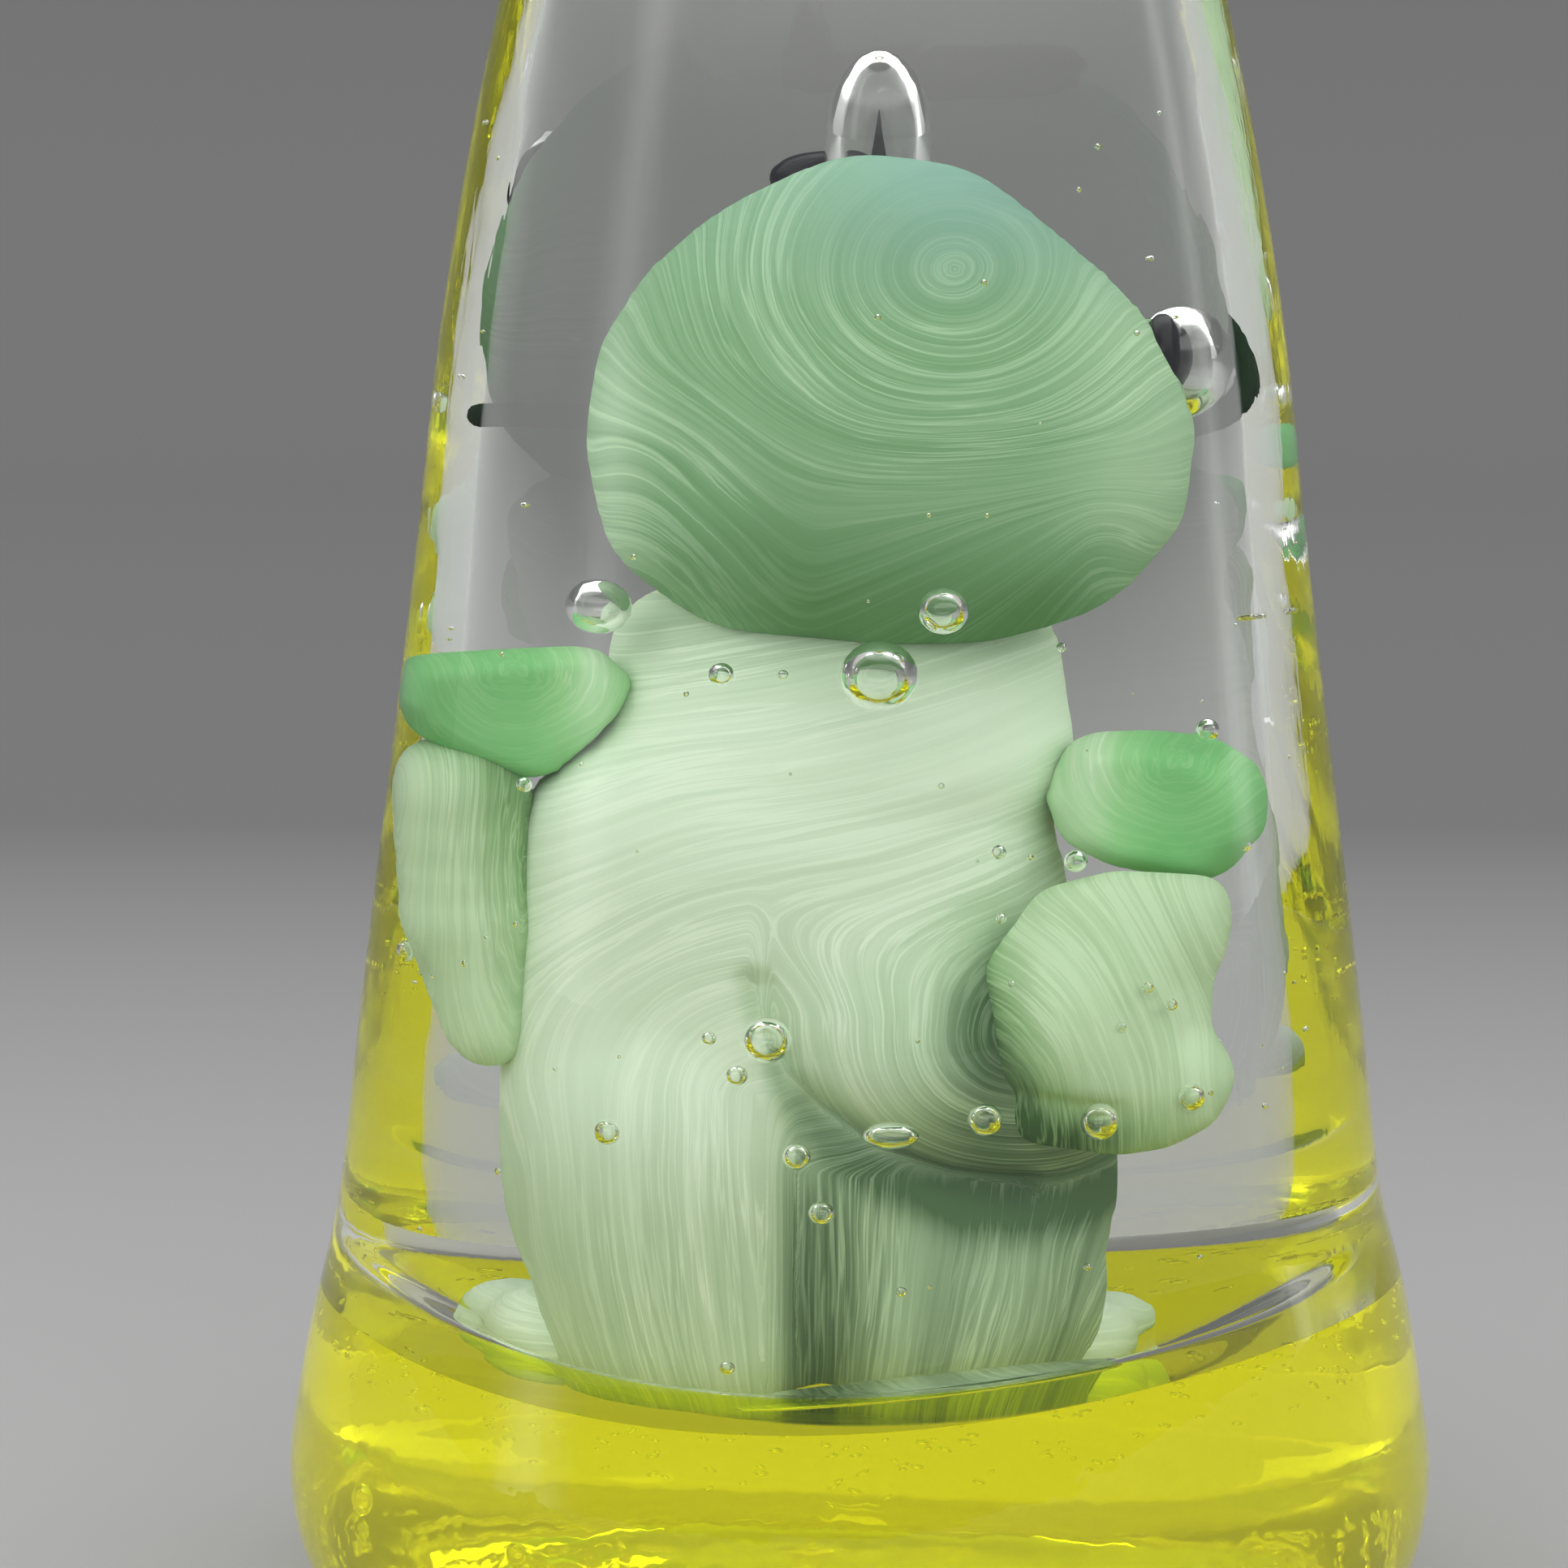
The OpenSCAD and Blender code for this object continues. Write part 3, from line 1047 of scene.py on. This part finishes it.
    def pupil(self, node: str, drop: float = 0.0, stretch: float = 1.0, drawn: bool = False) -> Piece:
        """Shapes one pupil as a polished black bead.

        Args:
            node: the pupil's node.
            drop: how far the bead hangs below its node's middle, as a share of the half height.
            stretch: how much larger than the node it is, as it runs on into the head.
            drawn: True where the black was drawn up into a fine tip in the air over it.

        Returns:
            The finished piece.
        """
        place = Place.of(node)
        bm = bmesh.new()
        bmesh.ops.create_icosphere(bm, subdivisions=4, radius=1.0)
        bmesh.ops.scale(bm, vec=place.size(1.0, stretch, stretch), verts=bm.verts)
        bmesh.ops.translate(bm, vec=place.at(0, 0, -drop), verts=bm.verts)
        if drawn:
            tip = bmesh.ops.create_cone(bm, cap_ends=True, segments=24, radius1=self.tip_r,
                                        radius2=self.tip_end_r, depth=self.tip_long)
            bmesh.ops.translate(bm, vec=place.at(0.95, -0.6, 1.35), verts=tip["verts"])
        return dress(to_mesh(f"{node}_bead", bm), Slot.BLACK, (node,), BlackGlass())

    def mouth(self) -> Piece:
        """Lays the mouth, a thin thread of glass along the lower face.

        Returns:
            The finished piece.
        """
        upright = Matrix.Rotation(math.radians(90), 3, "X")
        start = Matrix.Rotation(math.radians(self.mouth_start), 3, "Z")
        tilt = Matrix.Rotation(math.radians(self.mouth_tilt), 3, "Y")
        bm = bmesh.new()
        bmesh.ops.create_circle(bm, segments=12, radius=self.thread_r)
        bmesh.ops.rotate(bm, cent=ORIGIN, matrix=upright, verts=bm.verts)
        bmesh.ops.translate(bm, vec=(self.mouth_r, 0, 0), verts=bm.verts)
        bmesh.ops.rotate(bm, cent=ORIGIN, matrix=start, verts=bm.verts)
        bmesh.ops.spin(bm, geom=bm.verts[:] + bm.edges[:], cent=ORIGIN, axis=(0, 0, 1), dvec=ORIGIN,
                       angle=math.radians(self.mouth_sweep), steps=40, use_merge=False, use_duplicate=False)
        bmesh.ops.holes_fill(bm, edges=[edge for edge in bm.edges if edge.is_boundary], sides=0)
        bmesh.ops.recalc_face_normals(bm, faces=bm.faces)
        bmesh.ops.translate(bm, vec=(0, self.mouth_out, -self.mouth_drop), verts=bm.verts)
        bmesh.ops.rotate(bm, cent=ORIGIN, matrix=tilt, verts=bm.verts)
        bmesh.ops.scale(bm, vec=(self.mouth_broad, 1.0, 1.0), verts=bm.verts)
        bmesh.ops.translate(bm, vec=self.crown.at(-0.06, 0.0, -0.10), verts=bm.verts)
        piece = to_mesh("mouth_thread", bm)
        draw_flow(piece, np.array([(vert.co.x / MM, vert.co.z / MM, 0.8) for vert in piece.data.vertices]))
        return dress(piece, Slot.DARK, ("mouth",), self.dark_glass)

    def build(self) -> None:
        """Builds every gather of the figure."""
        self.body()
        self.head()
        self.left_shoulder()
        self.left_forearm()
        self.right_shoulder()
        self.right_hand()
        self.foot("left_foot")
        self.foot("right_foot")
        self.pupil("left_eye", drawn=True)
        self.pupil("right_eye", drop=0.6, stretch=1.6)
        self.mouth()


@dataclass(frozen=True)
class Bubble:
    """Air trapped in the glass: its centre, its radii and its lean about Y."""

    centre: np.ndarray
    radii: tuple[float, float, float]
    lean: float = 0.0
    detail: int = 3

    def blow(self, bm: Form) -> None:
        """Adds the bubble's wall to the glass, facing the air inside it.

        Args:
            bm: the glass.
        """
        verts = bmesh.ops.create_icosphere(bm, subdivisions=self.detail, radius=1.0)["verts"]
        turn = Matrix.Rotation(math.radians(self.lean), 3, "Y")
        bmesh.ops.scale(bm, vec=self.radii, verts=verts)
        bmesh.ops.rotate(bm, cent=ORIGIN, matrix=turn, verts=verts)
        bmesh.ops.translate(bm, vec=self.centre, verts=verts)
        bmesh.ops.reverse_faces(bm, faces=list({face for vert in verts for face in vert.link_faces}))


@dataclass
class GlassBody:
    """The clear casing, the yellow foot and the air trapped in them."""

    casing: Place = field(default_factory=lambda: Place.of("clear_casing"))
    foot: Place = field(default_factory=lambda: Place.of("yellow_foot"))
    trunk: Place = field(default_factory=lambda: Place.of("torso"))
    crown: Place = field(default_factory=lambda: Place.of("head"))
    flat_r: float = 14.2
    widest_z: float = 8.0
    waist_z: float = 25.0
    waist_r: float = 20.0
    head_level_z: float = 49.5
    head_level_r: float = 16.75
    tip_r: float = 6.3
    tip_drop: float = 7.0
    dip_r: float = 16.0
    dish_r: float = 9.0
    dip: float = 2.0
    lift: float = 0.2
    swell: Outline = ((0.7, 0.6), (-0.85, 0.0), (-0.2, 0.25))
    wave_above: float = 6.0
    wave_below: float = 5.0
    joint_gap: float = 0.01
    steps: int = 192
    curve_steps: int = 22
    seed_count: int = 90
    fleck_count: int = 420

    clear: SolidGlass = SolidGlass("clear_fire_polished", srgb(248, 251, 247), 1.5, 0.010, (900, 900, 60))
    clear_joint: SolidGlass = SolidGlass("clear_joint", srgb(255, 255, 255), 1.02)
    yellow: SolidGlass = SolidGlass("lemon_fire_polished", srgb(255, 252, 2), 1.5, 0.03, (500, 500, 400), 0.80)
    yellow_joint: SolidGlass = SolidGlass("lemon_joint", srgb(255, 253, 12), 1.0)
    underside: GroundGlass = GroundGlass("lemon_ground", srgb(255, 253, 4), srgb(222, 222, 4),
                                         srgb(255, 214, 2))

    @property
    def oval(self) -> float:
        """The body's depth as a share of its width."""
        return self.casing.half[1] / self.casing.half[0]

    def spread(self, spot: Vector) -> float:
        """Gives a spot's distance from the axis, as it would be along the wide way of the oval."""
        return math.hypot(spot[0], spot[1] / self.oval)

    def curve(self, *corners: tuple[float, float]) -> list[tuple[float, float]]:
        """Gives points along a cubic curve, its start left out.

        Args:
            corners: the curve's start, two handles and end, as radius and height.

        Returns:
            The points as radius and height.
        """
        points = []
        for step in range(1, self.curve_steps + 1):
            t = step / self.curve_steps
            weights = ((1 - t) ** 3, 3 * t * (1 - t) ** 2, 3 * t * t * (1 - t), t ** 3)
            points.append(tuple(sum(w * c[axis] for w, c in zip(weights, corners)) for axis in (0, 1)))
        return points

    def joint_ring(self) -> tuple[float, float]:
        """Gives the fused joint's radius and height at the rim."""
        return self.casing.half[0], self.foot.at(0, 0, 1)[2]

    def foot_side(self) -> list[tuple[float, float]]:
        """Gives the foot's outline from its flat up to the joint.

        Returns:
            The points as radius and height.
        """
        widest = self.foot.half[0]
        joint_r, joint_z = self.joint_ring()
        return (self.curve((self.flat_r, 0), (self.flat_r + 5.2, 0), (widest, self.widest_z - 5.2),
                           (widest, self.widest_z))
                + self.curve((widest, self.widest_z), (widest, self.widest_z + 2.2),
                             (joint_r + 0.5, joint_z - 1.9), (joint_r, joint_z)))

    def casing_side(self) -> list[tuple[float, float]]:
        """Gives the casing's outline from the joint up to the tip.

        Returns:
            The points as radius and height.
        """
        joint_r, joint_z = self.joint_ring()
        top = self.casing.at(0, 0, 1)[2]
        tip_z = top - self.tip_drop
        waist = (self.waist_r, self.waist_z)
        level = (self.head_level_r, self.head_level_z)
        return (self.curve((joint_r, joint_z), (joint_r - 0.8, joint_z + 3.1),
                           (self.waist_r + 0.45, self.waist_z - 3.6), waist)
                + self.curve(waist, (self.waist_r - 1, self.waist_z + 8),
                             (self.head_level_r + 0.95, self.head_level_z - 8.5), level)
                + self.curve(level, (self.head_level_r - 1.5, self.head_level_z + 13),
                             (self.tip_r + 4.7, tip_z - 13.5), (self.tip_r, tip_z))
                + self.curve((self.tip_r, tip_z), (self.tip_r - 1.6, tip_z + 4.4),
                             (self.tip_r * 0.43, top), (0.0, top)))

    def joint_profile(self) -> list[tuple[float, float]]:
        """Gives the joint's own surface, from the rim in to the axis.

        Returns:
            The points as radius and height.
        """
        joint_r, joint_z = self.joint_ring()
        radii = [joint_r * (1 - step / self.curve_steps) for step in range(1, self.curve_steps + 1)]
        sinks = [self.dip * float(ramp(radius, self.dip_r, self.dish_r)) for radius in radii]
        return [(radius, joint_z - sink) for radius, sink in zip(radii, sinks)]

    def spun(self, outline: list[tuple[float, float]]) -> Form:
        """Turns an outline that starts and ends on the axis into a closed oval solid.

        Args:
            outline: points as radius and height.

        Returns:
            The solid, with its faces outwards.
        """
        bm = bmesh.new()
        verts = [bm.verts.new((radius, 0.0, height)) for radius, height in outline]
        edges = [bm.edges.new(pair) for pair in zip(verts[:-1], verts[1:])]
        bmesh.ops.spin(bm, geom=verts + edges, cent=ORIGIN, axis=(0, 0, 1), dvec=ORIGIN,
                       angle=2 * math.pi, steps=self.steps, use_merge=True, use_duplicate=False)
        bmesh.ops.remove_doubles(bm, verts=bm.verts, dist=1e-4)
        bmesh.ops.scale(bm, vec=(1.0, self.oval, 1.0), verts=bm.verts)
        bmesh.ops.recalc_face_normals(bm, faces=bm.faces)
        return bm

    def wave(self, spot: Vector) -> float:
        """Gives how far the joint rises or sinks at a spot, as hot glass settles.

        Args:
            spot: the spot in millimetres.

        Returns:
            The rise in millimetres.
        """
        turn = math.atan2(spot[0], -spot[1] / self.oval)
        share = min(self.spread(spot) / self.casing.half[0], 1.0)
        rise = self.lift
        for count, (even, odd) in enumerate(self.swell, start=1):
            rise += even * math.cos(count * turn) + odd * math.sin(count * turn)
        return rise * share ** 2

    def settle(self, bm: Form, below: bool) -> None:
        """Waves the joint and the walls next to it.

        Args:
            bm: the casing or the foot.
            below: True for the foot, which lies under the joint.
        """
        joint_z = self.joint_ring()[1]
        reach = self.wave_below if below else self.wave_above
        for vert in bm.verts:
            off = joint_z - vert.co.z if below else vert.co.z - joint_z
            vert.co.z += self.wave(vert.co) * float(ramp(max(off, 0.0), reach, 0.0))

    def mark_joint(self, bm: Form, looks_up: bool) -> None:
        """Gives the joint's faces their own material and a sharp rim.

        Args:
            bm: the casing or the foot, before it is waved.
            looks_up: True where the joint's faces look up.
        """
        joint_z = self.joint_ring()[1]
        for face in bm.faces:
            height = face.calc_center_median().z
            level = abs(face.normal.z) > 0.6 and (face.normal.z > 0) == looks_up
            face.material_index = int(level and joint_z - self.dip - 0.1 < height < joint_z + 0.1)
        for edge in bm.edges:
            edge.smooth = len({face.material_index for face in edge.link_faces}) == 1

    def air(self) -> list[Bubble]:
        """Lists the bubbles trapped in the clear glass round the figure.

        Returns:
            The bubbles, the last of them the thin crescent under the figure.
        """
        spots = [
            ((0.46, -1.09, 1.29), 0.86), ((0.23, -1.04, 1.12), 1.30), ((-0.33, -0.99, 1.12), 0.43),
            ((-0.11, -1.01, 1.12), 0.19), ((0.86, -0.60, 1.17), 0.18), ((-0.71, -0.14, 1.25), 1.05),
            ((1.38, -0.47, 0.94), 0.44), ((0.93, -0.88, 0.63), 0.41), ((0.67, -1.10, 0.50), 0.19),
            ((-1.03, -0.60, 0.80), 0.29), ((1.51, -0.33, 0.62), 0.21), ((-1.45, -0.19, 0.30), 0.42),
            ((-0.17, -1.29, 0.20), 0.84), ((-0.38, -1.26, 0.20), 0.25), ((-0.28, -1.31, 0.11), 0.38),
            ((-0.06, -1.29, -0.10), 0.48), ((0.62, -1.33, 0.0), 0.60), ((1.04, -1.20, -0.02), 0.68),
            ((1.38, -1.02, 0.02), 0.51), ((1.22, -1.14, 0.32), 0.23), ((1.31, -1.10, 0.27), 0.24),
            ((1.12, -1.15, 0.22), 0.17), ((0.03, -1.26, -0.25), 0.43), ((-0.76, -1.26, -0.05), 0.46),
            ((0.66, -1.08, 0.67), 0.27), ((-0.31, -1.33, -0.66), 0.27), ((0.32, -1.33, -0.45), 0.19),
            ((0.99, -1.15, -0.41), 0.14),
        ]
        bubbles = [Bubble(self.trunk.at(*spot), (radius, radius, radius)) for spot, radius in spots]
        bubbles.append(Bubble(self.trunk.at(0.28, -1.33, -0.04), (0.95, 0.7, 0.5)))
        bubbles.append(Bubble(self.trunk.at(0.43, -1.40, -0.69), (6.6, 1.2, 0.16), lean=-6.5, detail=4))
        return bubbles

    def domes(self) -> list[Bubble]:
        """Lists the tall air domes blown over the two eyes."""
        return [Bubble(Place.of("left_eye").at(0.95, -0.87, 1.11), (1.6, 1.5, 3.6), detail=5),
                Bubble(Place.of("right_eye").at(0.35, -0.08, -0.85), (1.55, 1.6, 2.1), detail=5)]

    def seeds(self) -> list[Bubble]:
        """Scatters the finest seed bubbles through the clear glass, clear of the wall.

        Returns:
            The bubbles, the same ones every time.
        """
        chance = np.random.default_rng(7)
        seeds = []
        while len(seeds) < self.seed_count:
            spot = chance.uniform((-1.9, -1.9, -0.5), (1.9, 1.9, 2.6))
            point = self.trunk.at(*spot)
            wall = np.interp(point[2], (self.waist_z, self.head_level_z, self.crown.at(0, 0, 1)[2]),
                             (self.waist_r, self.head_level_r, self.head_level_r - 2.0))
            if math.hypot(spot[0], spot[1]) > 1.25 and self.spread(point) < wall - 1.0:
                size = chance.uniform(0.04, 0.13)
                seeds.append(Bubble(point, (size, size, size), detail=2))
        return seeds

    def flecks(self) -> list[Bubble]:
        """Scatters pale flattened flecks of air just under the joint, near the wall.

        Returns:
            The flecks, the same ones every time.
        """
        chance = np.random.default_rng(11)
        joint_r, joint_z = self.joint_ring()
        flecks = []
        for _ in range(self.fleck_count):
            turn = chance.uniform(0.0, 2 * math.pi)
            radius = joint_r * chance.uniform(0.86, 0.975)
            spot = Vector((radius * math.cos(turn), radius * math.sin(turn) * self.oval, 0.0))
            depth = 0.5 + 2.4 * chance.uniform(0.0, 1.0) ** 1.6
            centre = np.array((spot.x, spot.y, joint_z + self.wave(spot) - depth))
            long, thin = chance.uniform(0.14, 0.34), chance.uniform(0.04, 0.08)
            flecks.append(Bubble(centre, (long, long, thin), lean=chance.uniform(-25, 25), detail=1))
        return flecks

    def build_casing(self) -> Piece:
        """Builds the clear casing with its trapped air.

        Returns:
            The finished piece.
        """
        bm = self.spun(self.joint_profile()[::-1] + [self.joint_ring()] + self.casing_side())
        self.mark_joint(bm, looks_up=False)
        self.settle(bm, below=False)
        for bubble in self.air() + self.domes() + self.seeds():
            bubble.blow(bm)
        return dress(to_mesh("clear_casing_glass", bm), Slot.CLEAR, ("clear_casing",),
                     self.clear, self.clear_joint)

    def build_foot(self) -> Piece:
        """Builds the yellow foot with its flecks.

        Returns:
            The finished piece.
        """
        flat = [(0.0, 0.0), (self.flat_r * 0.5, 0.0), (self.flat_r, 0.0)]
        bm = self.spun(flat + self.foot_side() + self.joint_profile())
        self.mark_joint(bm, looks_up=True)
        for face in bm.faces:
            if face.normal.z < -0.999 and face.calc_center_median().z < 0.01:
                face.material_index = 2
        self.settle(bm, below=True)
        top = [vert for vert in bm.verts if any(face.material_index == 1 for face in vert.link_faces)]
        bmesh.ops.translate(bm, vec=(0, 0, -self.joint_gap), verts=top)
        for bubble in self.flecks():
            bubble.blow(bm)
        for spot, size in (((-0.80, -0.52, 0.26), 0.6), ((-0.53, -0.76, 0.22), 0.4)):
            Bubble(self.foot.at(*spot), (size, size, size)).blow(bm)
        return dress(to_mesh("yellow_foot_glass", bm), Slot.YELLOW, ("yellow_foot",),
                     self.yellow, self.yellow_joint, self.underside)


@dataclass(frozen=True)
class Paper(Finish):
    """The sweep's paper, pale near the object and greyer up the backdrop."""

    name: str = "studio_paper"
    floor_grey: float = 0.30
    wall_grey: float = 0.088
    pale_to: float = -0.04
    grey_from: float = 0.22

    def wire(self, wiring: Wiring, shader: Sockets) -> None:
        """Shades the paper from front to back.

        Args:
            wiring: the material's node tree.
            shader: the inputs of its shader.
        """
        parts = wiring.node("SeparateXYZ", {0: wiring.place()})
        shade = wiring.span(parts.outputs["Y"], self.pale_to, self.grey_from, self.floor_grey, self.wall_grey)
        shader["Roughness"].default_value = 0.9
        wiring.put(shader["Base Color"], shade)


@dataclass(frozen=True)
class Band:
    """A soft upright band of brighter light, seen only as a reflection in the glass."""

    azimuth: float
    width: float
    strength: float


@dataclass
class Studio:
    """The pale floor with its sweep, the soft sky of light and the camera."""

    aim_z: float = 35.3
    distance: float = 134.0
    elevation: float = 8.0
    swing: float = 1.29
    view_angle: float = 26.0
    sweep_start: float = 0.85
    sweep_radius: float = 0.50
    sweep_steps: int = 24
    half_width: float = 4.0
    wall_height: float = 4.0
    floor_drop: float = 0.00005
    sky: Outline = ((0.0, 0.30), (0.50, 0.45), (0.66, 0.62), (0.77, 3.15), (1.0, 2.6))
    bands: tuple[Band, ...] = (Band(-58.0, 6.0, 1.6), Band(92.0, 4.0, 1.6), Band(156.0, 5.0, 3.0))

    def sweep(self) -> None:
        """Lays a plain pale floor that curves up into a grey backdrop behind the object."""
        outline = [(-self.half_width, 0.0), (self.sweep_start, 0.0)]
        for step in range(1, self.sweep_steps + 1):
            turn = math.radians(90.0 * step / self.sweep_steps)
            outline.append((self.sweep_start + self.sweep_radius * math.sin(turn),
                            self.sweep_radius * (1.0 - math.cos(turn))))
        outline.append((self.sweep_start + self.sweep_radius, self.wall_height))
        bm = bmesh.new()
        verts = [bm.verts.new((-self.half_width, y, z - self.floor_drop)) for y, z in outline]
        edges = [bm.edges.new(pair) for pair in zip(verts[:-1], verts[1:])]
        made = bmesh.ops.extrude_edge_only(bm, edges=edges)
        moved = [item for item in made["geom"] if isinstance(item, bmesh.types.BMVert)]
        bmesh.ops.translate(bm, vec=(2 * self.half_width, 0, 0), verts=moved)
        sweep = to_object("studio_sweep", bm)
        sweep.data.materials.append(Paper().make())

    def light(self) -> None:
        """Surrounds the scene with soft light from above, and with faint upright bands."""
        world = bpy.data.worlds.new("studio_sky")
        bpy.context.scene.world = world
        world.use_nodes = True
        wiring = Wiring(world.node_tree)
        way = wiring.node("TexCoord", {}).outputs["Generated"]
        side, front, up = wiring.node("SeparateXYZ", {0: way}).outputs
        shade = wiring.node("ValToRGB", {"Fac": wiring.maths("MULTIPLY_ADD", up, 0.5, 0.5)})
        stops = shade.color_ramp.elements
        for stop, (share, level) in zip((stops[0], stops[1]), (self.sky[0], self.sky[-1])):
            stop.position, stop.color = share, (level, level, level, 1)
        for share, level in self.sky[1:-1]:
            stops.new(share).color = (level, level, level, 1)
        shade.color_ramp.interpolation = "EASE"
        azimuth = wiring.maths("ARCTAN2", side, wiring.maths("MULTIPLY", front, -1.0))
        bright = shade.outputs["Color"]
        for band in self.bands:
            off = wiring.maths("SUBTRACT", azimuth, math.radians(band.azimuth))
            share = wiring.maths("DIVIDE", off, math.radians(band.width))
            fall = wiring.maths("MULTIPLY", wiring.maths("MULTIPLY", share, share), -1.0)
            glow = wiring.maths("POWER", math.e, fall)
            bright = wiring.maths("ADD", bright, wiring.maths("MULTIPLY", glow, band.strength))
        wiring.put(wiring.tree.nodes["Background"].inputs["Color"], bright)

    def camera(self) -> None:
        """Places the camera behind the figure's back, a little above its middle."""
        data = bpy.data.cameras.new("camera")
        data.angle = math.radians(self.view_angle)
        data.clip_start = 0.005
        holder = bpy.data.objects.new("camera", data)
        tilt = math.radians(self.elevation)
        aim = Vector((0, 0, self.aim_z * MM))
        holder.location = aim + Vector((0, -math.cos(tilt), math.sin(tilt))) * self.distance * MM
        holder.rotation_euler = (math.radians(90 - self.elevation), 0, math.radians(self.swing))
        bpy.context.collection.objects.link(holder)
        bpy.context.scene.camera = holder

    def build(self) -> None:
        """Sets the whole stage, and lets light pass through many layers of glass."""
        self.sweep()
        self.light()
        self.camera()
        scene = bpy.context.scene
        scene.view_settings.view_transform = "Standard"
        scene.cycles.max_bounces = 28
        scene.cycles.transmission_bounces = 24
        scene.cycles.glossy_bounces = 12
        scene.cycles.diffuse_bounces = 4


def main() -> None:
    """Builds the paperweight piece by piece."""
    logging.basicConfig(level=logging.INFO, format="%(message)s")
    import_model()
    Studio().build()
    Figure().build()
    body = GlassBody()
    body.build_casing()
    body.build_foot()


if __name__ == "__main__":
    main()
